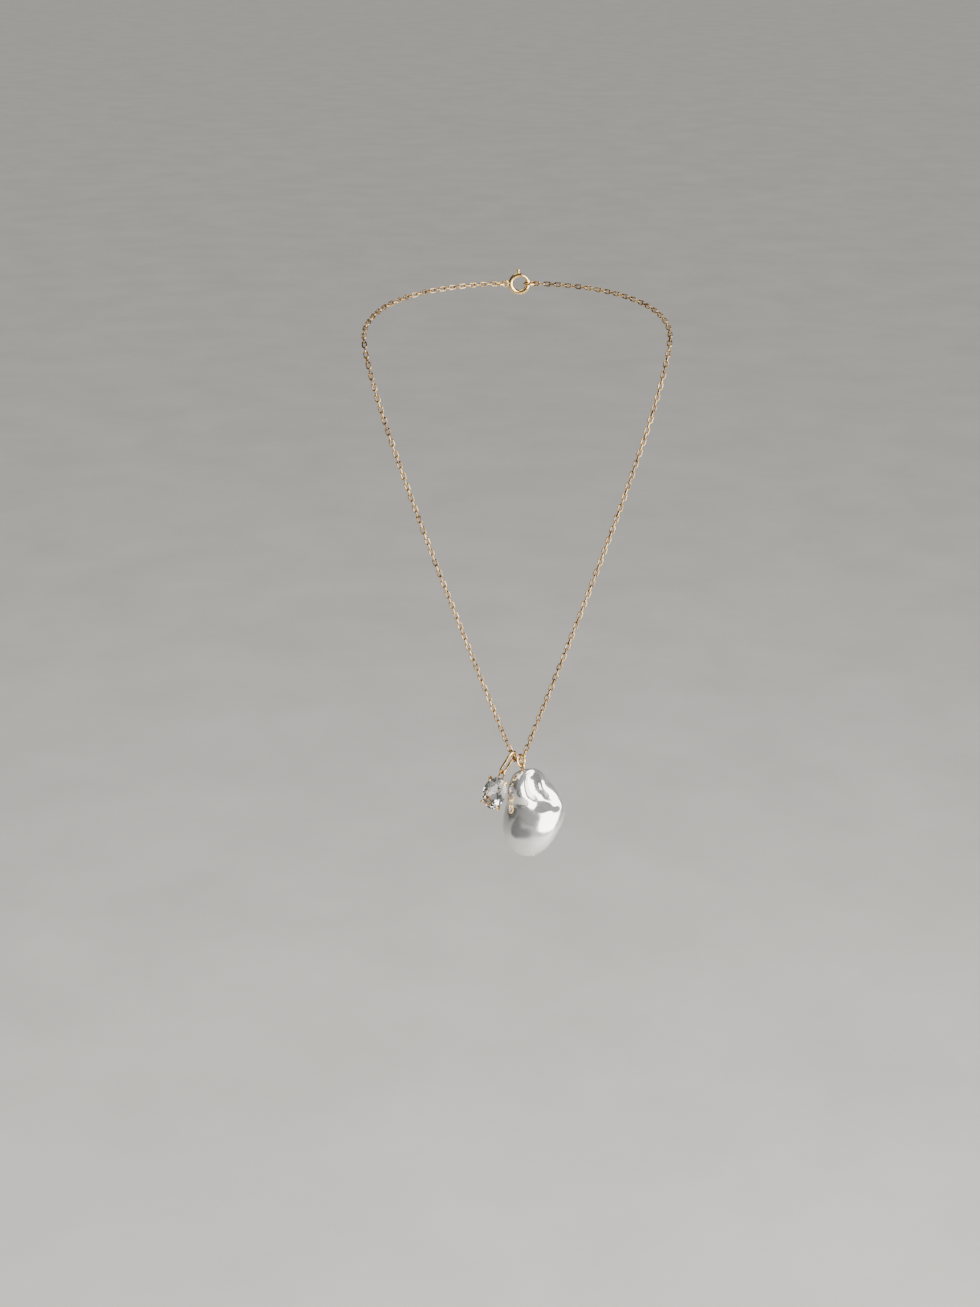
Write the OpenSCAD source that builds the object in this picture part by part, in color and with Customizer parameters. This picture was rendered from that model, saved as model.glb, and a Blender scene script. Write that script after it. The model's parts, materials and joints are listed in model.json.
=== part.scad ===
// Pendant necklace: a fine cable chain carrying a baroque pearl drop and an oval crystal drop.
// Millimetres. X runs across the wearer, -Y faces forwards and +Z is up.
// The origin is the middle of the neck opening, level with the chain's widest point.

/* [Neck loop] */
// Half the width of the loop at its widest
loop_half_w = 46.2; // [44:0.1:48]
// How far the lowest link hangs below the widest point
drop = 125.7; // [122:0.1:130]
// How far the lowest link stands forward of the widest point
reach = 33.6; // [31:0.1:36]
// Depth of the nape behind the widest point
nape_depth = 38; // [36:0.5:40]
// Height of the nape above the widest point
nape_rise = 8; // [6:0.5:10]

/* [Cable chain] */
// Diameter of the chain wire
wire_d = 0.42; // [0.4:0.01:0.43]
// Inner length of one link
link_inner_l = 1.8; // [1.78:0.01:1.84]
// Inner width of one link
link_inner_w = 0.78; // [0.76:0.01:0.84]

/* [Pearl drop] */
// Diameter of the head pin
pin_d = 0.55; // [0.5:0.01:0.58]
// Middle diameter of the head pin's eye
eye_d = 1.5; // [1.45:0.01:1.55]
// Wire diameter of the pearl's jump ring
ring_wire = 0.7; // [0.65:0.01:0.72]
// Depth of the pearl from front to back
pearl_depth = 16; // [14:0.1:17]

/* [Crystal drop] */
// Length of the crystal
stone_l = 10.6; // [10.2:0.1:10.8]
// Width of the crystal
stone_w = 7.6; // [7.4:0.1:7.8]
// Depth of the crystal from table to culet
stone_h = 4.6; // [4.2:0.1:5]
// Wire diameter of the crystal's bail
bail_wire = 0.8; // [0.75:0.01:0.82]

/* [Clasp] */
// Outer diameter of the spring ring's tube
tube_d = 1.5; // [1.4:0.02:1.52]
// Angle that the spring ring's bolt draws back
bolt_travel = 60; // [50:1:62]

/* [Hidden] */

OLD_GOLD = [0.62, 0.46, 0.25];
GOLD = [0.83, 0.66, 0.36];
STEEL = [0.72, 0.72, 0.74];
PEARL = [0.88, 0.87, 0.84];
CRYSTAL = [0.85, 0.88, 0.9, 0.5];

// Roundness of wires and of the paths that they follow
WIRE_FN = 48;
PATH_FN = 96;
// Free play between two hooked wires, and between a shaft and its bore
play = 0.05;
fit = 0.04;

// Chain links: a straight-sided wire loop with round ends
bend_r = (link_inner_w + wire_d) / 2;
straight = (link_inner_l - link_inner_w) / 2;
end_wire = (link_inner_l + wire_d) / 2;
pitch = link_inner_l - play;

// The front of the V: half its angle, its lean back, and the climb over the shoulder
v_half = 21.2;
lean = 5.4;
climb = 29;
apex = [0, -reach, -drop];
strand_foot = apex + [pitch - straight, 0, 0];
shoulder = [loop_half_w, 0, 0];
strand_dir = [sin(v_half), cos(v_half) * sin(lean), cos(v_half) * cos(lean)];
shoulder_dir = [0, cos(climb), sin(climb)];
front_curve = [strand_foot, strand_foot + 68 * strand_dir, shoulder - 17 * shoulder_dir, shoulder];
nape_curve = [shoulder, shoulder + 16 * shoulder_dir, [26, nape_depth, nape_rise], [0, nape_depth, nape_rise]];
face = [0, -cos(lean), sin(lean)];

function bezier(p, t) = pow(1 - t, 3) * p[0] + 3 * pow(1 - t, 2) * t * p[1]
    + 3 * (1 - t) * t * t * p[2] + pow(t, 3) * p[3];
function unit(v) = v / norm(v);
// Middle distance between two wires hooked in each other
function hook(a, b) = (a + b) / 2 + play;

// One side of the loop as points, with the length run up to each
STEPS = 160;
route = concat(
    [for (i = [0:STEPS]) bezier(front_curve, i / STEPS)],
    [for (i = [1:STEPS]) bezier(nape_curve, i / STEPS)]
);
last = len(route) - 1;
run = [for (i = 0, s = 0; i <= last; s = s + (i < last ? norm(route[i + 1] - route[i]) : 0), i = i + 1) s];
along = [for (axis = [0:2]) [for (i = [0:last]) [run[i], route[i][axis]]]];
nape_run = [for (i = [STEPS:last]) [-route[i].x, run[i]]];
function place(s) = [for (axis = [0:2]) lookup(s, along[axis])];
function heading(s) = unit(place(s + pitch / 2) - place(s - pitch / 2));

// Clasp pieces in line across the nape, from the left chain's end wire to the right one's
tail_ring_d = 2.8;
tail_ring_wire = 0.6;
tail_eye_d = 1.8;
tail_eye_wire = 0.5;
tail_eye_reach = 1;
clasp_d = 5.5;
end_ring_d = 3.3;
end_ring_wire = 0.7;
tail_ring_off = tail_ring_d / 2 - hook(wire_d, tail_ring_wire);
tail_eye_off = tail_ring_off + (tail_ring_d + tail_eye_d) / 2 - hook(tail_ring_wire, tail_eye_wire);
clasp_off = tail_eye_off + tail_eye_reach + (tube_d + clasp_d) / 2;
end_ring_off = clasp_off + (clasp_d + end_ring_d) / 2 - hook(tube_d, end_ring_wire);
clasp_span = end_ring_off + end_ring_d / 2 - hook(end_ring_wire, wire_d);

// Links on each side, an odd number so that both ends lie flat, spaced to fill the side
nape_turn = 11.5;
side_run = lookup(-(clasp_span / 2 + end_wire * cos(nape_turn)), nape_run);
side_links = 2 * round((side_run - straight) / pitch / 2) + 1;
step = (side_run - straight) / (side_links - 1);
function link_run(k) = straight + step * (k - 1);
function end_wire_at(k, way) = place(link_run(k)) + way * end_wire * heading(link_run(k));
clasp_line = [-clasp_span / 2, end_wire_at(side_links, 1).y, end_wire_at(side_links, 1).z];

// First link of each stretch of chain, counted up from the lowest link
LEVEL_LINKS = 14;
LEVELS = 5;
function level_first(level) = 1 + LEVEL_LINKS * (LEVELS - level);

// Pearl drop, in the frame of the lowest link
ring_d = 3.5;
ring_at = [0.89, 0, -0.28];
ring_lean = 3;
ring_yaw = 47;
ring_tip = -26.4;
pin_lean = 6.5;
pin_len = 29.7;
head_d = 1.5;
head_h = 0.5;
eye_at = [1.25, -0.29, -2.04];
eye_yaw = -39;

// Crystal drop, in the frame of the lowest link
bail_l = 7.9;
bail_w = 3.4;
bail_at = [-3.17, -0.5, -0.79];
bail_lean = 31;
bail_yaw = 54.4;
bail_tip = -3.5;
stone_at = [-7.33, -1.72, -10.34];
stone_lean = 20.5;
stone_yaw = -25;
loop_l = 2.9;
loop_w = 1.6;
loop_wire = 0.5;
loop_yaw = -39;
loop_at = [0.2, 1.5, stone_l / 2 + 0.5];
rail_d = 0.5;
prong_d = 0.7;

// Everything that hangs is placed from the lowest link, leaning back with the V
module hang() {
    translate(apex) rotate([-lean, 0, 0]) children();
}

// Bent wire: a loop with round ends along X, w wide at the middle of the wire
module wire_loop(l, w, wire) {
    side = (l - w) / 2;
    for (end = [0, 180]) {
        rotate([0, 0, end]) {
            translate([side, 0, 0])
                rotate_extrude(angle = 180, start = -90, $fn = PATH_FN)
                    translate([w / 2, 0]) circle(d = wire, $fn = WIRE_FN);
            translate([-side, w / 2, 0])
                rotate([0, 90, 0]) cylinder(d = wire, h = 2 * side, $fn = WIRE_FN);
        }
    }
}

// Round wire ring about Z, open by a saw cut at the given angle
module cut_ring(d, wire, cut_at) {
    cut = 3;
    rotate_extrude(angle = 360 - cut, start = cut_at + cut / 2, $fn = PATH_FN)
        translate([d / 2, 0]) circle(d = wire, $fn = WIRE_FN);
}

// One chain link, length along X and width along Y
module link() {
    wire_loop(2 * (straight + bend_r), 2 * bend_r, wire_d);
}

// A link in its place on the right strand; every second one is turned edge-on
module strand_link(k) {
    s = link_run(k);
    t = heading(s);
    n = unit(face - t * (t * face));
    b = cross(n, t);
    p = place(s);
    turn = (k % 2 == 0 ? 90 : 0) + 5 * sin(77 * k);
    multmatrix([[t.x, b.x, n.x, p.x], [t.y, b.y, n.y, p.y], [t.z, b.z, n.z, p.z]])
        rotate([turn, 0, 0]) link();
}

// Links first to final of the right strand, or of the left one in the mirror
module strand(first, final, left) {
    color(OLD_GOLD)
        mirror([left ? 1 : 0, 0, 0])
            for (k = [first:final]) strand_link(k);
}

module nape_chain(left) {
    strand(level_first(0), side_links, left);
}

module chain_level(level, left) {
    strand(level_first(level), level_first(level) + LEVEL_LINKS - 1, left);
}

module apex_link() {
    color(OLD_GOLD) hang() link();
}

module pearl_jump_ring() {
    color(GOLD)
        hang()
            translate(ring_at)
                rotate([ring_tip, ring_lean, 0])
                    rotate([0, 0, ring_yaw])
                        rotate([90, 0, 0]) cut_ring(ring_d, ring_wire, 340);
}

// The pin's frame: origin in the middle of its eye, with the pin running down -Z
module pin_frame() {
    hang() translate(eye_at) rotate([0, -pin_lean, 0]) children();
}

// Head pin: an eye turned from the wire, the shank and a flat head below the pearl
module head_pin() {
    eye_open = 12;
    color(GOLD)
        pin_frame() {
            rotate([0, 0, eye_yaw])
                rotate([90, 0, 0])
                    rotate_extrude(angle = 360 - eye_open, start = -90, $fn = PATH_FN)
                        translate([eye_d / 2, 0]) circle(d = pin_d, $fn = WIRE_FN);
            translate([0, 0, -pin_len]) cylinder(d = pin_d, h = pin_len - eye_d / 2, $fn = WIRE_FN);
            translate([0, 0, -pin_len - head_h])
                rotate_extrude($fn = WIRE_FN)
                    polygon([[0, 0], [head_d * 0.3, 0], [head_d * 0.45, head_h * 0.35],
                        [head_d / 2, head_h * 0.75], [head_d / 2, head_h], [0, head_h]]);
        }
}

// Pearl: an outline seen from the front, swelled to its depth. The radii run round the
// outline every 15 degrees, counted from the right, and follow its two uneven lobes.
pearl_middle = [1.6, 0, -16.4];
PEARL_RADII = [
    10.2, 10.2, 10.5, 11, 12, 14.4, 15.4, 15.1, 12.9, 10.5, 9.3, 9.1,
    9.6, 10.4, 11.5, 12.6, 13.6, 13.8, 12.8, 11.5, 10.3, 9.6, 9.5, 9.8
];
PEARL_ROUND = 48;
PEARL_RINGS = 13;

function wrap(i) = PEARL_RADII[(i + len(PEARL_RADII)) % len(PEARL_RADII)];
function spline(a, b, c, d, t) = b + t / 2 * (c - a + t * (2 * a - 5 * b + 4 * c - d + t * (3 * (b - c) + d - a)));
function outline(angle) = let (u = angle / 15, i = floor(u))
    spline(wrap(i - 1), wrap(i), wrap(i + 1), wrap(i + 2), u - i);
function pearl_point(angle, depth_angle) = pearl_middle + [
    outline(angle) * cos(depth_angle) * cos(angle),
    pearl_depth / 2 * sin(depth_angle),
    outline(angle) * cos(depth_angle) * sin(angle)
];

module pearl_body() {
    rings = [for (j = [1:PEARL_RINGS]) 180 * j / (PEARL_RINGS + 1) - 90];
    points = concat(
        [for (a = rings) for (i = [0:PEARL_ROUND - 1]) pearl_point(360 * i / PEARL_ROUND, a)],
        [pearl_middle - [0, pearl_depth / 2, 0], pearl_middle + [0, pearl_depth / 2, 0]]
    );
    front = PEARL_RINGS * PEARL_ROUND;
    top = front - PEARL_ROUND;
    faces = concat(
        [for (j = [0:PEARL_RINGS - 2]) for (i = [0:PEARL_ROUND - 1])
            let (a = j * PEARL_ROUND + i, b = j * PEARL_ROUND + (i + 1) % PEARL_ROUND)
                [a, a + PEARL_ROUND, b]],
        [for (j = [0:PEARL_RINGS - 2]) for (i = [0:PEARL_ROUND - 1])
            let (a = j * PEARL_ROUND + i, b = j * PEARL_ROUND + (i + 1) % PEARL_ROUND)
                [a + PEARL_ROUND, b + PEARL_ROUND, b]],
        [for (i = [0:PEARL_ROUND - 1]) [front, i, (i + 1) % PEARL_ROUND]],
        [for (i = [0:PEARL_ROUND - 1]) [front + 1, top + (i + 1) % PEARL_ROUND, top + i]]
    );
    polyhedron(points = points, faces = faces);
}

module baroque_pearl() {
    color(PEARL)
        pin_frame()
            difference() {
                pearl_body();
                translate([0, 0, -pin_len - 2]) cylinder(d = pin_d + 2 * fit, h = pin_len + 2, $fn = WIRE_FN);
            }
}

module crystal_bail() {
    color(GOLD)
        hang()
            translate(bail_at)
                rotate([bail_tip, bail_lean, 0])
                    rotate([0, 0, bail_yaw])
                        rotate([90, -90, 0])
                            difference() {
                                wire_loop(bail_l, bail_w, bail_wire);
                                translate([1.2, bail_w / 2, 0]) cube([0.08, 2, 2], center = true);
                            }
}

// The stone's frame: origin in the middle of its girdle, table towards -Y, length along Z
module stone_frame() {
    hang() translate(stone_at) rotate([0, stone_lean, 0]) children();
}

// An oval of the stone's own proportions, as many times its size as asked, h deep in Y
module stone_tube(outer, inner, h) {
    rotate([90, 0, 0])
        linear_extrude(h, center = true)
            difference() {
                stone_oval(outer);
                stone_oval(inner);
            }
}

module stone_oval(size) {
    rim = [for (i = [0:PATH_FN - 1]) on_oval(360 * i / PATH_FN, size)];
    polygon([for (p = rim) [p.x, p.z]]);
}

function on_oval(angle, size) = [stone_w / 2 * size * cos(angle), 0, stone_l / 2 * size * sin(angle)];

// Basket setting: two oval rails, four prongs with bent-over tips, and a loop at the top
module crystal_setting() {
    color(GOLD)
        stone_frame()
            rotate([0, 0, stone_yaw]) {
                translate([0, 1.5, 0]) stone_tube(0.83, 0.71, rail_d);
                translate([0, 2.4, 0]) stone_tube(0.62, 0.49, rail_d);
                for (angle = [55, 138, 228, 316]) prong(angle);
            }
    color(GOLD)
        hang()
            translate(stone_at)
                rotate([0, stone_lean, 0])
                    translate(loop_at)
                        rotate([0, 0, loop_yaw]) rotate([90, -90, 0]) wire_loop(loop_l, loop_w, loop_wire);
}

// One prong: from the lower rail out past the girdle, its tip bent in over the crown
module prong(angle) {
    foot = on_oval(angle, 0.64) + [0, 2.5, 0];
    side = on_oval(angle, 1.15) + [0, -0.1, 0];
    tip = on_oval(angle, 0.96) + [0, -1.05, 0];
    rod(foot, side, prong_d);
    rod(side, tip, prong_d);
    translate(side) sphere(d = prong_d * 1.05, $fn = WIRE_FN);
    translate(tip) sphere(d = prong_d * 1.1, $fn = WIRE_FN);
}

// A straight round rod from one point to another
module rod(from, to, d) {
    v = to - from;
    translate(from)
        rotate([0, acos(v.z / norm(v)), atan2(v.y, v.x)])
            cylinder(d = d, h = norm(v), $fn = WIRE_FN);
}

// Oval brilliant: table, star break, girdle and culet, joined by flat facets
module oval_crystal() {
    crown = stone_h * 0.27;
    pavilion = stone_h - crown - 0.2;
    points = concat(
        [for (i = [0:7]) on_oval(45 * i + 22.5, 0.6) + [0, -crown, 0]],
        [for (i = [0:7]) on_oval(45 * i, 0.83) + [0, -crown * 0.6, 0]],
        [for (i = [0:15]) on_oval(22.5 * i, 1) + [0, -0.1, 0]],
        [for (i = [0:15]) on_oval(22.5 * i, 1) + [0, 0.1, 0]],
        [for (i = [0:7]) on_oval(45 * i + 22.5, 0.52) + [0, 0.1 + pavilion * 0.56, 0]],
        [[0, 0.1 + pavilion, 0]]
    );
    color(CRYSTAL)
        stone_frame()
            rotate([0, 0, stone_yaw])
                hull() polyhedron(points = points, faces = [[for (i = [0:len(points) - 1]) i]]);
}

// The clasp's frame: origin at the left chain's end wire, X along the nape, Y upwards
module clasp_frame(offset) {
    translate(clasp_line + [offset, 0, 0]) rotate([90, 0, 0]) children();
}

module tail_jump_ring() {
    color(GOLD)
        translate(clasp_line + [tail_ring_off, 0, 0]) cut_ring(tail_ring_d, tail_ring_wire, 90);
}

module end_ring() {
    color(GOLD)
        translate(clasp_line + [end_ring_off, 0, 0]) cut_ring(end_ring_d, end_ring_wire, 90);
}

// Spring ring: angles run from +X towards +Z round the clasp
gap_from = 25;
gap_to = 85;
bore_d = tube_d - 0.5;
bolt_d = bore_d - 2 * fit;
bolt_tip = gap_from - 6;
bolt_end = 125;
knob_at = gap_to + 10;
bore_end = 255;
knob_stem = 0.6;

// An arc of round rod about the clasp's centre
module clasp_arc(d, from, to) {
    rotate_extrude(angle = to - from, start = from, $fn = PATH_FN)
        translate([clasp_d / 2, 0]) circle(d = d, $fn = WIRE_FN);
}

module clasp_body() {
    slot_w = knob_stem + 2 * fit;
    color(GOLD)
        clasp_frame(clasp_off) {
            difference() {
                clasp_arc(tube_d, gap_to, 360 + gap_from);
                clasp_arc(bore_d, gap_to - 2, bore_end);
                clasp_arc(bore_d, bolt_tip - 4, gap_from + 2);
                rotate_extrude(angle = bolt_travel + 18, start = gap_to - 2, $fn = PATH_FN)
                    translate([clasp_d / 2, -slot_w / 2]) square([tube_d, slot_w]);
            }
            translate([-clasp_d / 2 - tube_d / 2 - tail_eye_reach, 0, 0])
                rotate_extrude($fn = PATH_FN)
                    translate([tail_eye_d / 2, 0]) circle(d = tail_eye_wire, $fn = WIRE_FN);
        }
}

module clasp_bolt() {
    color(GOLD)
        clasp_frame(clasp_off) {
            clasp_arc(bolt_d, bolt_tip, bolt_end);
            rotate([0, 0, knob_at])
                translate([clasp_d / 2, 0, 0])
                    rotate([0, 90, 0]) {
                        cylinder(d = knob_stem, h = tube_d / 2 + 0.5, $fn = WIRE_FN);
                        translate([0, 0, tube_d / 2 + 0.75]) sphere(d = 1.1, $fn = WIRE_FN);
                    }
        }
}

// Coil spring: a wire wound round the bore's own arc, between the bolt and the bore's end
spring_wire = 0.16;
spring_turns = 15;
TURN_STEPS = 10;
SPRING_SIDES = 5;

function coil(u) = let (
    a = bolt_end + 1.5 + u * (bore_end - bolt_end - 3),
    r = clasp_d / 2 + (bore_d / 2 - spring_wire / 2 - fit) * cos(360 * spring_turns * u)
) [r * cos(a), r * sin(a), (bore_d / 2 - spring_wire / 2 - fit) * sin(360 * spring_turns * u)];

module clasp_spring() {
    count = spring_turns * TURN_STEPS;
    path = [for (i = [0:count]) coil(i / count)];
    points = [for (i = [0:count])
        let (
            t = unit(path[min(i + 1, count)] - path[max(i - 1, 0)]),
            mid = unit([path[i].x, path[i].y, 0]) * clasp_d / 2,
            n = unit(path[i] - mid - t * (t * (path[i] - mid))),
            b = cross(t, n)
        )
        for (j = [0:SPRING_SIDES - 1])
            path[i] + spring_wire / 2 * (cos(360 * j / SPRING_SIDES) * n + sin(360 * j / SPRING_SIDES) * b)];
    walls = [for (i = [0:count - 1]) for (j = [0:SPRING_SIDES - 1])
        let (a = i * SPRING_SIDES + j, b = i * SPRING_SIDES + (j + 1) % SPRING_SIDES)
        for (half = [0, 1])
            half == 0 ? [a, a + SPRING_SIDES, b] : [a + SPRING_SIDES, b + SPRING_SIDES, b]];
    caps = [
        [for (j = [0:SPRING_SIDES - 1]) j],
        [for (j = [SPRING_SIDES - 1:-1:0]) count * SPRING_SIDES + j]
    ];
    color(STEEL)
        clasp_frame(clasp_off) polyhedron(points = points, faces = concat(walls, caps));
}

nape_chain(true);  // nape_chain_left
nape_chain(false);  // nape_chain_right
chain_level(1, true);  // chain_left_1
chain_level(2, true);  // chain_left_2
chain_level(3, true);  // chain_left_3
chain_level(4, true);  // chain_left_4
chain_level(5, true);  // chain_left_5
chain_level(1, false);  // chain_right_1
chain_level(2, false);  // chain_right_2
chain_level(3, false);  // chain_right_3
chain_level(4, false);  // chain_right_4
chain_level(5, false);  // chain_right_5
apex_link();
pearl_jump_ring();
head_pin();
baroque_pearl();
crystal_bail();
crystal_setting();
oval_crystal();
tail_jump_ring();
clasp_body();
clasp_bolt();
clasp_spring();
end_ring();
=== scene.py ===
import json
import math

import bmesh
import bpy
import numpy as np
from mathutils import Matrix, Vector, noise


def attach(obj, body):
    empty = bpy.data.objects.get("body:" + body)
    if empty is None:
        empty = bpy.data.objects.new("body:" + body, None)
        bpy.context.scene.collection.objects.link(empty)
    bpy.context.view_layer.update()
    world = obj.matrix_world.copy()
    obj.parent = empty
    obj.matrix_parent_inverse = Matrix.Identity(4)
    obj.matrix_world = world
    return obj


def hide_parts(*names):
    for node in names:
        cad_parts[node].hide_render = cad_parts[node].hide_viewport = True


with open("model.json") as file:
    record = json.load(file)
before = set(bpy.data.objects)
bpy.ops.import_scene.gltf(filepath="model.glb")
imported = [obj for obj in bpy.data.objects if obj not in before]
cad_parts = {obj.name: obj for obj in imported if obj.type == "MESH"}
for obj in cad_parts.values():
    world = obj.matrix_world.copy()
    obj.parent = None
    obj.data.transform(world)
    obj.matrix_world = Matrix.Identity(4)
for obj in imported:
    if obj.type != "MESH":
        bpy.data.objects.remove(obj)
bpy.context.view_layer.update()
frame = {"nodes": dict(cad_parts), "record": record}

MM = 0.001

# ---------------------------------------------------------------- camera
LENS = 53.99
camera_data = bpy.data.cameras.new("camera")
camera_data.lens = LENS
camera_data.sensor_width = 36
camera_data.clip_start = 0.01
camera_data.clip_end = 50
camera = bpy.data.objects.new("camera", camera_data)
bpy.context.scene.collection.objects.link(camera)
camera.matrix_world = (
    Matrix.Translation(Vector((-8.555, -584.93, 132.572)) * MM)
    @ Matrix.Rotation(math.radians(68), 4, "X")
    @ Matrix.Rotation(math.radians(-0.26), 4, "Z")
)
bpy.context.scene.camera = camera


# ---------------------------------------------------------------- frames of the CAD source
def turn(x, y, z):
    """Turns about X, then Y, then Z, in degrees."""
    return (
        Matrix.Rotation(math.radians(z), 4, "Z")
        @ Matrix.Rotation(math.radians(y), 4, "Y")
        @ Matrix.Rotation(math.radians(x), 4, "X")
    )


def shift(x, y, z):
    return Matrix.Translation((x, y, z))


HANG = Matrix.Scale(MM, 4) @ shift(0, -33.6, -125.7) @ turn(-5.4, 0, 0)
PIN = HANG @ shift(1.25, -0.29, -2.04) @ turn(0, -6.5, 0)
BAIL = HANG @ shift(-3.17, -0.5, -0.79) @ turn(-3.5, 31, 0) @ turn(0, 0, 54.4) @ turn(90, -90, 0)
STONE_PLACE = HANG @ shift(-7.33, -1.72, -10.34) @ turn(0, 20.5, 0)
STONE = STONE_PLACE @ turn(0, 0, -25)
LOOP = STONE_PLACE @ shift(0.2, 1.5, 5.8) @ turn(0, 0, -39) @ turn(90, -90, 0)
STONE_HALF = (3.8, 5.3)
STONE_DEPTH = 4.6
BAIL_WIRE = 0.8
LOOP_WIRE = 0.5
PRONG_RADIUS = 0.35
PRONG_ANGLES = (55, 138, 228, 316)
RAIL_THICK = 0.36
RAIL_DEEP = 0.5


# ---------------------------------------------------------------- mesh helpers
def add_mesh(name, verts, faces, matrix, material, smooth=True):
    mesh = bpy.data.meshes.new(name)
    mesh.from_pydata([tuple(matrix @ Vector(v)) for v in verts], [], faces)
    mesh.update()
    obj = bpy.data.objects.new(name, mesh)
    bpy.context.scene.collection.objects.link(obj)
    bm = bmesh.new()
    bm.from_mesh(mesh)
    bmesh.ops.recalc_face_normals(bm, faces=bm.faces)
    bm.to_mesh(mesh)
    bm.free()
    for polygon in mesh.polygons:
        polygon.use_smooth = smooth
    mesh.materials.append(material)
    return obj


def tube(path, radii, closed=False, sides=20):
    """A round wire along a path, one radius for each point."""
    points = [Vector(p) for p in path]
    count = len(points)
    tangents = []
    for i in range(count):
        if closed:
            step = points[(i + 1) % count] - points[i - 1]
        else:
            step = points[min(i + 1, count - 1)] - points[max(i - 1, 0)]
        tangents.append(step.normalized())
    side = tangents[0].orthogonal().normalized()
    verts = []
    for i, (point, tangent) in enumerate(zip(points, tangents)):
        side = (side - tangent * side.dot(tangent)).normalized()
        other = tangent.cross(side)
        for k in range(sides):
            angle = 2 * math.pi * k / sides
            verts.append(point + side * math.cos(angle) * radii[i] + other * math.sin(angle) * radii[i])
    faces = []
    turns = count if closed else count - 1
    offset = 0
    if closed:
        last = verts[(count - 1) * sides]
        offset = min(range(sides), key=lambda k: (verts[k] - last).length)
    for i in range(turns):
        j = (i + 1) % count
        extra = offset if closed and j == 0 else 0
        for k in range(sides):
            faces.append((
                i * sides + k, i * sides + (k + 1) % sides,
                j * sides + (k + 1 + extra) % sides, j * sides + (k + extra) % sides,
            ))
    if not closed:
        faces.append(tuple(range(sides - 1, -1, -1)))
        faces.append(tuple((count - 1) * sides + k for k in range(sides)))
    return verts, faces


def domed(path, radius_at, rings=5):
    """Path and radii of an open wire with hemispherical ends."""
    points = [Vector(p) for p in path]
    r0, r1 = radius_at(0.0), radius_at(1.0)
    start_dir = (points[0] - points[1]).normalized()
    end_dir = (points[-1] - points[-2]).normalized()
    out, radii = [], []
    for i in range(rings, 0, -1):
        a = i / (rings + 0.35) * math.pi / 2
        out.append(points[0] + start_dir * r0 * math.sin(a))
        radii.append(r0 * math.cos(a))
    for i, p in enumerate(points):
        out.append(p)
        radii.append(radius_at(i / (len(points) - 1)))
    for i in range(1, rings + 1):
        a = i / (rings + 0.35) * math.pi / 2
        out.append(points[-1] + end_dir * r1 * math.sin(a))
        radii.append(r1 * math.cos(a))
    return out, radii


def merge(*parts):
    verts, faces = [], []
    for part_verts, part_faces in parts:
        base = len(verts)
        verts += list(part_verts)
        faces += [tuple(base + k for k in face) for face in part_faces]
    return verts, faces


def moved(part, matrix):
    return [matrix @ Vector(v) for v in part[0]], part[1]


def stadium(length, width, steps=96, gap=None):
    """Middle line of a wire loop with round ends along X. gap leaves (x, opening) open on the +Y side."""
    side = (length - width) / 2
    r = width / 2
    whole = 2 * math.pi * r + 4 * side
    points = []
    start = 0.0
    span = whole
    if gap:
        start = math.pi * r + (side - gap[0]) + gap[1] / 2
        span = whole - gap[1]
    for i in range(steps + 1 if gap else steps):
        s = (start + span * i / steps) % whole
        if s < math.pi * r:
            a = s / r - math.pi / 2
            points.append((side + r * math.cos(a), r * math.sin(a), 0))
        elif s < math.pi * r + 2 * side:
            points.append((side - (s - math.pi * r), r, 0))
        elif s < 2 * math.pi * r + 2 * side:
            a = (s - math.pi * r - 2 * side) / r + math.pi / 2
            points.append((-side + r * math.cos(a), r * math.sin(a), 0))
        else:
            points.append((-side + (s - 2 * math.pi * r - 2 * side), -r, 0))
    return points


def smooth_line(points, steps):
    """Catmull-Rom line through the points."""
    pts = [Vector(p) for p in points]
    pts = [2 * pts[0] - pts[1]] + pts + [2 * pts[-1] - pts[-2]]
    out = []
    for i in range(1, len(pts) - 2):
        a, b, c, d = pts[i - 1:i + 3]
        for k in range(steps):
            t = k / steps
            out.append(b + t / 2 * (c - a + t * (2 * a - 5 * b + 4 * c - d + t * (3 * (b - c) + d - a))))
    out.append(pts[-2])
    return out


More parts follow.
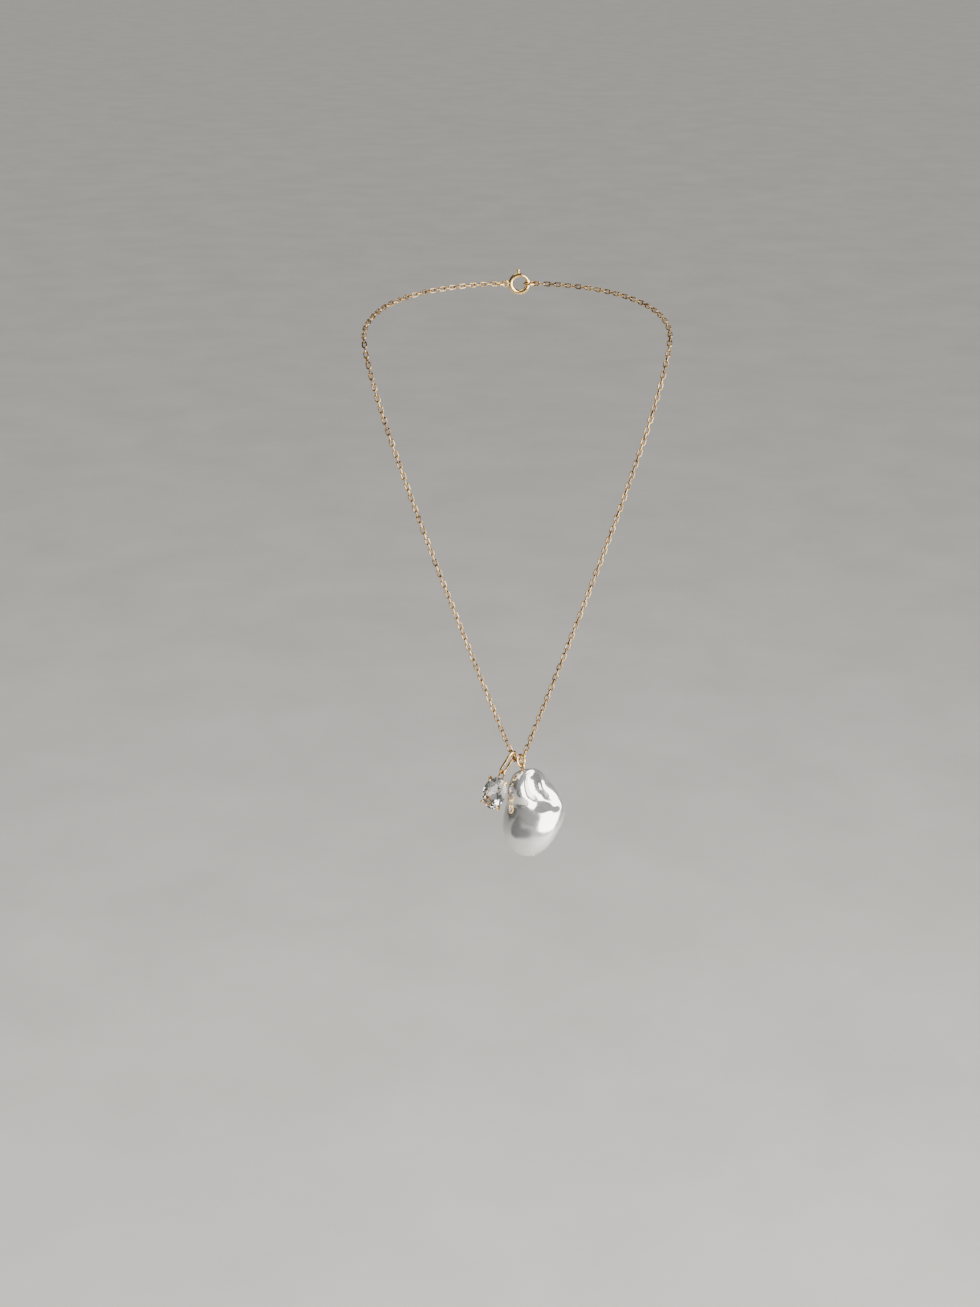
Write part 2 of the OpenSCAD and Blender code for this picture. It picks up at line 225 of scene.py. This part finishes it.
# ---------------------------------------------------------------- materials
class Nodes:
    """Short hand for building one node material."""

    def __init__(self, name):
        self.material = bpy.data.materials.new(name)
        self.material.use_nodes = True
        self.tree = self.material.node_tree
        self.shader = self.tree.nodes["Principled BSDF"]
        self.coordinates = self.tree.nodes.new("ShaderNodeTexCoord")

    def link(self, a, b):
        self.tree.links.new(a, b)

    def noise(self, scale, detail=3.0, roughness=0.5, stretch=None, distortion=0.0):
        node = self.tree.nodes.new("ShaderNodeTexNoise")
        node.inputs["Scale"].default_value = scale
        node.inputs["Detail"].default_value = detail
        node.inputs["Roughness"].default_value = roughness
        node.inputs["Distortion"].default_value = distortion
        source = self.coordinates.outputs["Object"]
        if stretch:
            mapping = self.tree.nodes.new("ShaderNodeMapping")
            mapping.inputs["Scale"].default_value = stretch
            self.link(source, mapping.inputs["Vector"])
            source = mapping.outputs["Vector"]
        self.link(source, node.inputs["Vector"])
        return node.outputs["Fac"]

    def ramp(self, value, *stops):
        node = self.tree.nodes.new("ShaderNodeValToRGB")
        elements = node.color_ramp.elements
        while len(elements) < len(stops):
            elements.new(0.5)
        for element, (place, colour) in zip(elements, stops):
            element.position = place
            element.color = (*colour, 1) if len(colour) == 3 else colour
        self.link(value, node.inputs["Fac"])
        return node.outputs["Color"]

    def span(self, value, low, high, from_low=0.0, from_high=1.0):
        node = self.tree.nodes.new("ShaderNodeMapRange")
        node.inputs["From Min"].default_value = from_low
        node.inputs["From Max"].default_value = from_high
        node.inputs["To Min"].default_value = low
        node.inputs["To Max"].default_value = high
        self.link(value, node.inputs["Value"])
        return node.outputs["Result"]

    def mix(self, factor, a, b, blend="MIX"):
        node = self.tree.nodes.new("ShaderNodeMix")
        node.data_type = "RGBA"
        node.blend_type = blend
        for key, value in (("Factor", factor), ("A", a), ("B", b)):
            kind = "VALUE" if key == "Factor" else "RGBA"
            socket = next(s for s in node.inputs if s.name == key and s.type == kind)
            if isinstance(value, (int, float)):
                socket.default_value = value
            elif isinstance(value, tuple):
                socket.default_value = (*value, 1)
            else:
                self.link(value, socket)
        return next(s for s in node.outputs if s.type == "RGBA")

    def math(self, operation, a, b):
        node = self.tree.nodes.new("ShaderNodeMath")
        node.operation = operation
        for socket, value in zip(node.inputs, (a, b)):
            if isinstance(value, (int, float)):
                socket.default_value = value
            else:
                self.link(value, socket)
        return node.outputs["Value"]

    def hollow(self, distance, samples=6):
        node = self.tree.nodes.new("ShaderNodeAmbientOcclusion")
        node.samples = samples
        node.inputs["Distance"].default_value = distance
        return node.outputs["AO"]

    def bump(self, height, strength, distance):
        node = self.tree.nodes.new("ShaderNodeBump")
        node.inputs["Strength"].default_value = strength
        node.inputs["Distance"].default_value = distance
        self.link(height, node.inputs["Height"])
        self.link(node.outputs["Normal"], self.shader.inputs["Normal"])

    def put(self, **values):
        for key, value in values.items():
            socket = self.shader.inputs[key.replace("_", " ")]
            if isinstance(value, (int, float)):
                socket.default_value = value
            elif isinstance(value, tuple):
                socket.default_value = (*value, 1) if socket.type == "RGBA" else value
            else:
                self.link(value, socket)


def antique_gold():
    """Gold plate with painted shade: the colour turns dark brown where the links shade each other, and in
    random brown patches.
    """
    m = Nodes("antique_gold_chain")
    tone = m.ramp(m.noise(900, 4), (0.3, (0.56, 0.33, 0.11)), (0.72, (0.84, 0.57, 0.24)))
    # painted shade: ambient occlusion darkens the base colour towards dark brown where the links shade each
    # other
    shade = m.span(m.hollow(0.0008), 0, 1, 0.42, 0.92)
    patches = m.span(m.noise(420, 3), 0.2, 1.0, 0.36, 0.58)
    # painted shade times the random patches: low values take the dark brown
    painted_shade_and_patches = m.math("MULTIPLY", shade, patches)
    m.put(
        Base_Color=m.mix(painted_shade_and_patches, (0.06, 0.026, 0.009), tone),
        Metallic=1.0,
        Roughness=m.span(m.noise(1500, 3), 0.2, 0.42, 0.3, 0.7),
    )
    m.bump(m.noise(2600, 4), 0.25, 0.00003)
    return m.material


def polished_gold():
    """Bright gold plate with hairline scratches and painted shade darkening it to brown in the corners."""
    m = Nodes("polished_gold")
    tone = m.ramp(m.noise(350, 3), (0.3, (0.80, 0.52, 0.18)), (0.7, (0.93, 0.66, 0.28)))
    # painted shade: ambient occlusion darkens the base colour to brown in the corners
    painted_corner_shade = m.span(m.hollow(0.0012), 0, 1, 0.25, 0.8)
    m.put(
        Base_Color=m.mix(painted_corner_shade, (0.22, 0.10, 0.03), tone),
        Metallic=1.0,
        Roughness=m.span(m.noise(1200, 4), 0.08, 0.24, 0.35, 0.7),
    )
    m.bump(m.noise(1800, 5, 0.6, stretch=(1, 1, 0.12)), 0.12, 0.00003)
    return m.material


def pearl_lacquer():
    """Silvery pearl lacquer: half mirror, half milk, with clouds, fine orange peel and a clear coat."""
    m = Nodes("pearl")
    clouds = m.noise(110, 3, 0.5, distortion=0.6)
    body = m.ramp(clouds, (0.3, (0.70, 0.685, 0.66)), (0.5, (0.78, 0.768, 0.75)), (0.72, (0.82, 0.82, 0.82)))
    m.put(
        Base_Color=body,
        Metallic=0.86,
        Roughness=m.span(m.noise(500, 3), 0.13, 0.2, 0.3, 0.7),
        Subsurface_Weight=0.1,
        Subsurface_Radius=(0.002, 0.0016, 0.0014),
        Coat_Weight=0.7,
        Coat_Roughness=0.04,
        Coat_IOR=1.5,
    )
    m.shader.inputs["Subsurface Scale"].default_value = 0.5
    m.bump(m.noise(330, 2, 0.4), 0.08, 0.0002)
    return m.material


def cut_crystal():
    """Clear crystal with a breath of warm and cool in it and fine wear on the facets."""
    m = Nodes("crystal")
    tint = m.ramp(m.noise(260, 2), (0.35, (0.97, 0.985, 1.0)), (0.65, (1.0, 0.99, 0.965)))
    m.put(
        Base_Color=tint,
        Roughness=m.span(m.noise(1400, 4), 0.0, 0.02, 0.45, 0.75),
        Transmission_Weight=1.0,
        IOR=1.62,
    )
    m.bump(m.noise(2200, 4, 0.6, stretch=(1, 0.2, 1)), 0.02, 0.00002)
    return m.material


def spring_steel():
    """Drawn steel wire: fine lines along it and a grey-blue tone."""
    m = Nodes("spring_steel")
    tone = m.ramp(m.noise(900, 4), (0.35, (0.40, 0.41, 0.43)), (0.65, (0.66, 0.66, 0.67)))
    m.put(Base_Color=tone, Metallic=1.0, Roughness=m.span(m.noise(2400, 3), 0.22, 0.42, 0.3, 0.7))
    m.bump(m.noise(3000, 4, stretch=(1, 0.2, 1)), 0.2, 0.00002)
    return m.material


def pale_floor():
    m = Nodes("floor")
    tone = m.ramp(m.noise(9, 6, 0.6), (0.3, (0.57, 0.548, 0.515)), (0.7, (0.63, 0.61, 0.575)))
    m.put(Base_Color=tone, Roughness=m.span(m.noise(60, 5), 0.6, 0.8), Specular_IOR_Level=0.25)
    m.bump(m.noise(500, 5, 0.7), 0.12, 0.0006)
    return m.material


MATERIALS = {
    "antique_gold_chain": antique_gold(),
    "polished_gold": polished_gold(),
    "pearl": pearl_lacquer(),
    "crystal": cut_crystal(),
    "spring_steel": spring_steel(),
}
for entry in frame["record"]["subparts"]:
    mesh = frame["nodes"][entry["node"]].data
    mesh.materials.clear()
    mesh.materials.append(MATERIALS[entry["material_slot"]])


# ---------------------------------------------------------------- pearl
RADII = [
    10.2, 10.2, 10.5, 11, 12, 14.4, 15.4, 15.1, 12.9, 10.5, 9.3, 9.1,
    9.6, 10.4, 11.5, 12.6, 13.6, 13.8, 12.8, 11.5, 10.3, 9.6, 9.5, 9.8,
]
PEARL_MIDDLE = Vector((1.6, 0, -16.4))


def outline(angle):
    u = (math.degrees(angle) % 360) / 15
    i = int(u)
    t = u - i
    a, b, c, d = (RADII[(i + k) % 24] for k in (-1, 0, 1, 2))
    return b + t / 2 * (c - a + t * (2 * a - 5 * b + 4 * c - d + t * (3 * (b - c) + d - a)))


def line_distance(x, z, line):
    best = 1e9
    for (ax, az), (bx, bz) in zip(line, line[1:]):
        dx, dz = bx - ax, bz - az
        t = max(0, min(1, ((x - ax) * dx + (z - az) * dz) / (dx * dx + dz * dz)))
        best = min(best, math.hypot(x - ax - t * dx, z - az - t * dz))
    return best


# The pearl's body as lobes melted together: middle and radii in mm from the pearl's middle
LOBES = [
    ((0.2, -0.1, -2.8), (9.9, 7.7, 11.0)),
    ((-2.3, -0.8, 9.1), (4.2, 5.4, 6.1)),
    ((4.2, 0.6, 9.4), (3.4, 4.4, 6.0)),
]
# Folds and swellings seen from the front or the back: line, depth inwards, width, in mm
FRONT_FORMS = [
    ([(1.2, 15.4), (0.7, 12.4), (1.3, 9.2), (4.0, 6.9), (7.9, 3.6)], 1.2, 1.5),
    ([(1.6, 15.4), (1.2, 12.0), (1.8, 9.4), (3.6, 8.0)], 0.9, 3.0),
    ([(-6.5, 4.4), (-3.0, 5.2), (0.5, 5.0), (3.4, 5.2)], 0.5, 1.7),
    ([(-3.0, 11.0), (-2.8, 8.8)], -0.45, 2.0),
    ([(4.4, 14.0), (7.0, 10.3), (9.4, 6.4)], -0.3, 1.2),
    ([(-5.2, 7.0), (-7.6, 5.6)], 0.35, 2.2),
]
BACK_FORMS = [
    ([(-4.5, 9.0), (-1.0, 6.6), (2.5, 8.0)], 0.8, 1.8),
    ([(5.0, -3.0), (7.0, -6.5)], 0.5, 2.4),
]
MELT = 2.4


def field(points):
    total = np.zeros(len(points))
    for middle, radii in LOBES:
        q = (points - np.array(middle)) / np.array(radii)
        total += np.exp(MELT * (1 - (q * q).sum(axis=1)))
    return total


def reach_of(directions):
    """How far the melted lobes reach from the pearl's middle in each direction."""
    low = np.zeros(len(directions))
    high = np.full(len(directions), 26.0)
    for _ in range(36):
        half = (low + high) / 2
        inside = field(directions * half[:, None]) > 1
        low = np.where(inside, half, low)
        high = np.where(inside, high, half)
    return low


def pearl_mesh():
    bm = bmesh.new()
    bmesh.ops.create_icosphere(bm, subdivisions=7, radius=1.0)
    directions = np.array([v.co.normalized()[:] for v in bm.verts])
    points = directions * reach_of(directions)[:, None]
    angles = np.arctan2(points[:, 2], points[:, 0])
    flat = np.stack([np.cos(angles), np.zeros(len(angles)), np.sin(angles)], axis=1)
    edge = reach_of(flat)
    wanted = np.array([outline(a) for a in angles])
    ring = np.minimum(1, np.hypot(points[:, 0], points[:, 2]) / edge)
    grow = 1 + (wanted / edge - 1) * ring * ring
    points[:, 0] *= grow
    points[:, 2] *= grow
    for vert, point in zip(bm.verts, points):
        vert.co = point
    bm.normal_update()
    moves = []
    for vert in bm.verts:
        x, y, z = vert.co
        facing = min(1.0, max(0.0, abs(vert.normal.y) * 1.8))
        inward = 0.0
        for line, depth, width in FRONT_FORMS if vert.normal.y < 0 else BACK_FORMS:
            inward += depth * math.exp(-((line_distance(x, z, line) / width) ** 2))
        wobble = 0.16 * noise.noise(vert.co * 0.2) - 0.08
        moves.append(vert.normal * (wobble - inward * facing))
    for vert, move in zip(bm.verts, moves):
        vert.co += move
    for _ in range(12):
        bmesh.ops.smooth_vert(
            bm, verts=bm.verts, factor=0.5, use_axis_x=True, use_axis_y=True, use_axis_z=True
        )
    verts = [PEARL_MIDDLE + v.co for v in bm.verts]
    faces = [tuple(v.index for v in f.verts) for f in bm.faces]
    bm.free()
    return verts, faces


pearl = add_mesh("pearl", *pearl_mesh(), PIN, MATERIALS["pearl"])
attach(pearl, "pearl")
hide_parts("baroque_pearl")


# ---------------------------------------------------------------- bail
def bail_mesh():
    path = stadium(7.9, 3.4, 150, gap=(1.2, 0.08))
    return tube(path, [BAIL_WIRE / 2] * len(path), sides=32)


bail = add_mesh("bail", *bail_mesh(), BAIL, MATERIALS["polished_gold"])
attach(bail, "bail")
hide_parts("crystal_bail")


# ---------------------------------------------------------------- setting
def on_oval(angle, size, y=0.0):
    a = math.radians(angle)
    return Vector((STONE_HALF[0] * size * math.cos(a), y, STONE_HALF[1] * size * math.sin(a)))


def rail(size, y):
    """An oval band with rounded edges."""
    section = []
    sides = 20
    for k in range(sides):
        a = 2 * math.pi * k / sides
        c, s = math.cos(a), math.sin(a)
        section.append((
            RAIL_THICK / 2 * math.copysign(abs(c) ** 0.55, c),
            RAIL_DEEP / 2 * math.copysign(abs(s) ** 0.55, s),
        ))
    steps = 120
    verts, faces = [], []
    for i in range(steps):
        angle = 360 * i / steps
        middle = on_oval(angle, size, y)
        out = Vector((middle.x / STONE_HALF[0] ** 2, 0, middle.z / STONE_HALF[1] ** 2)).normalized()
        for across, along in section:
            verts.append(middle + out * across + Vector((0, along, 0)))
    for i in range(steps):
        j = (i + 1) % steps
        for k in range(sides):
            m = (k + 1) % sides
            faces.append((i * sides + k, i * sides + m, j * sides + m, j * sides + k))
    return verts, faces


def claw(angle):
    foot = on_oval(angle, 0.64, 2.5)
    middle = on_oval(angle, 0.91, 1.15)
    side = on_oval(angle, 1.15, -0.12)
    over = on_oval(angle, 1.06, -0.72)
    tip = on_oval(angle, 0.96, -1.05)
    line = smooth_line([foot, middle, side, over, tip], 10)
    path, radii = domed(line, lambda t: PRONG_RADIUS * (1 + 0.1 * max(0.0, (t - 0.75) / 0.25)))
    return tube(path, radii, sides=24)


setting_parts = [rail(size, y) for size, y in ((0.775, 1.5), (0.57, 2.4))]
setting_parts += [claw(angle) for angle in PRONG_ANGLES]
setting_parts = [moved(part, STONE) for part in setting_parts]
loop_path = stadium(2.9, 1.6, 96)
setting_parts.append(moved(tube(loop_path, [LOOP_WIRE / 2] * len(loop_path), closed=True, sides=24), LOOP))
setting = add_mesh("claw_setting", *merge(*setting_parts), Matrix.Identity(4), MATERIALS["polished_gold"])
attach(setting, "crystal")
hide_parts("crystal_setting")


# ---------------------------------------------------------------- stone
CROWN = STONE_DEPTH * 0.27
PAVILION = STONE_DEPTH - CROWN - 0.2


def spot(angle, size, height):
    a = math.radians(angle)
    return Vector((size * math.cos(a), size * math.sin(a), height))


def stone_mesh():
    """An oval brilliant, cut facet by facet from a round blank and then drawn out to the oval."""
    bm = bmesh.new()
    bmesh.ops.create_cone(
        bm, cap_ends=True, segments=64, radius1=1.0, radius2=1.0, depth=8.0,
        matrix=Matrix.Rotation(math.radians(360 / 128), 4, "Z"),
    )
    star_height = 0.755
    deep = -(0.1 + PAVILION)
    ring = (0.52, -(0.1 + PAVILION * 0.56))
    cuts = [(Vector((0, 0, CROWN)), Vector((0, 0, 1)))]

    def facet(a, b, c):
        normal = (b - a).cross(c - a).normalized()
        if normal.dot(a - Vector((0, 0, -0.3))) < 0:
            normal = -normal
        cuts.append((a, normal))

    for i in range(8):
        star, kite = 45 * i, 45 * i + 22.5
        top = spot(kite, 0.6, CROWN)
        rim = spot(kite, 1.0, 0.1)
        facet(top, rim, rim + spot(kite + 90, 1.0, 0))
        facet(spot(star - 22.5, 0.6, CROWN), spot(star + 22.5, 0.6, CROWN), spot(star, 0.83, star_height))
        for way in (-22.5, 22.5):
            facet(spot(star, 0.83, star_height), spot(star, 1.0, 0.1), spot(star + way, 1.0, 0.1))
        low = spot(kite, *ring)
        facet(Vector((0, 0, deep)), low, low + spot(kite + 90, 1.0, 0))
        for way in (-22.5, 22.5):
            facet(low, spot(kite, 1.0, -0.1), spot(kite + way, 1.0, -0.1))
    for place, normal in cuts:
        geometry = bm.verts[:] + bm.edges[:] + bm.faces[:]
        result = bmesh.ops.bisect_plane(
            bm, geom=geometry, dist=1e-6, plane_co=place, plane_no=normal, clear_outer=True
        )
        rim = [e for e in result["geom_cut"] if isinstance(e, bmesh.types.BMEdge)]
        if rim:
            bmesh.ops.contextual_create(bm, geom=rim)
    bmesh.ops.remove_doubles(bm, verts=bm.verts, dist=1e-4)
    bm.verts.index_update()
    verts = [Vector((v.co.x * STONE_HALF[0], -v.co.z, v.co.y * STONE_HALF[1])) for v in bm.verts]
    faces = [tuple(v.index for v in f.verts) for f in bm.faces]
    bm.free()
    return verts, faces


stone = add_mesh("oval_stone", *stone_mesh(), STONE, MATERIALS["crystal"], smooth=False)
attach(stone, "crystal")
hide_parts("oval_crystal")


# ---------------------------------------------------------------- floor, lights
FLOOR_Z = -0.75


def panel(name, width, height, matrix, material):
    w, h = width / 2, height / 2
    corners = [(-w, -h, 0), (w, -h, 0), (w, h, 0), (-w, h, 0)]
    return add_mesh(name, corners, [(0, 1, 2, 3)], matrix, material, smooth=False)


floor = panel("floor", 70, 70, shift(0, 0, FLOOR_Z), pale_floor())


def facing(place, target):
    """A frame at place whose -Z looks at the target."""
    place, target = Vector(place), Vector(target)
    return Matrix.Translation(place) @ (target - place).to_track_quat("-Z", "Y").to_matrix().to_4x4()


PENDANT = Vector((0, -0.036, -0.143))


def aimed(direction, distance, roll):
    """A frame that looks at the pendants from a direction and a distance."""
    return facing(PENDANT + Vector(direction).normalized() * distance, PENDANT) @ turn(0, 0, roll)


def soft_light(name, direction, distance, width, height, power, roll=0.0, tint=(1, 1, 1)):
    data = bpy.data.lights.new(name, "AREA")
    data.shape = "RECTANGLE"
    data.size = width
    data.size_y = height
    data.energy = power
    data.color = tint
    light = bpy.data.objects.new(name, data)
    bpy.context.scene.collection.objects.link(light)
    light.matrix_world = aimed(direction, distance, roll)


def flag(name, direction, distance, width, height, roll, shade):
    """A dark card with soft edges that only shows in reflections, as a photographer's flag does."""
    m = Nodes(name)
    across = m.tree.nodes.new("ShaderNodeSeparateXYZ")
    m.link(m.coordinates.outputs["Object"], across.inputs["Vector"])
    fade_x = m.span(m.math("ABSOLUTE", across.outputs["X"], 0), 1, 0, width * 0.25, width * 0.5)
    fade_y = m.span(m.math("ABSOLUTE", across.outputs["Y"], 0), 1, 0, height * 0.25, height * 0.5)
    m.put(Base_Color=shade, Roughness=1.0, Specular_IOR_Level=0.0, Alpha=m.math("MULTIPLY", fade_x, fade_y))
    card = panel(name, width, height, Matrix.Identity(4), m.material)
    card.matrix_world = aimed(direction, distance, roll)
    card.visible_camera = False
    card.visible_diffuse = False
    card.visible_transmission = False
    card.visible_shadow = False


soft_light("window", (0.70, -0.62, 0.20), 0.9, 1.3, 1.3, 50, roll=-12, tint=(1.0, 0.985, 0.96))
soft_light("sky", (-0.3, 0.45, 1.0), 1.2, 0.7, 0.7, 5, tint=(0.95, 0.98, 1.0))
flag("flag_left", (-1.0, 0.02, 0.42), 0.5, 0.34, 0.7, 6, (0.01, 0.01, 0.01))
flag("flag_low", (-0.48, -0.70, -0.40), 0.12, 0.15, 0.06, 4, (0.02, 0.02, 0.02))
flag("flag_side", (-0.82, -0.62, -0.16), 0.12, 0.07, 0.15, -20, (0.02, 0.02, 0.02))

sun_data = bpy.data.lights.new("overall", "SUN")
sun_data.energy = 2.1
sun_data.angle = math.radians(35)
sun = bpy.data.objects.new("overall", sun_data)
bpy.context.scene.collection.objects.link(sun)
sun.matrix_world = facing((0.7, -0.5, 1.3), (0, 0, 0))
sun.visible_glossy = False

world = bpy.data.worlds.new("world")
bpy.context.scene.world = world
world.use_nodes = True
background = world.node_tree.nodes["Background"]
background.inputs["Color"].default_value = (0.80, 0.82, 0.80, 1)
background.inputs["Strength"].default_value = 0.16
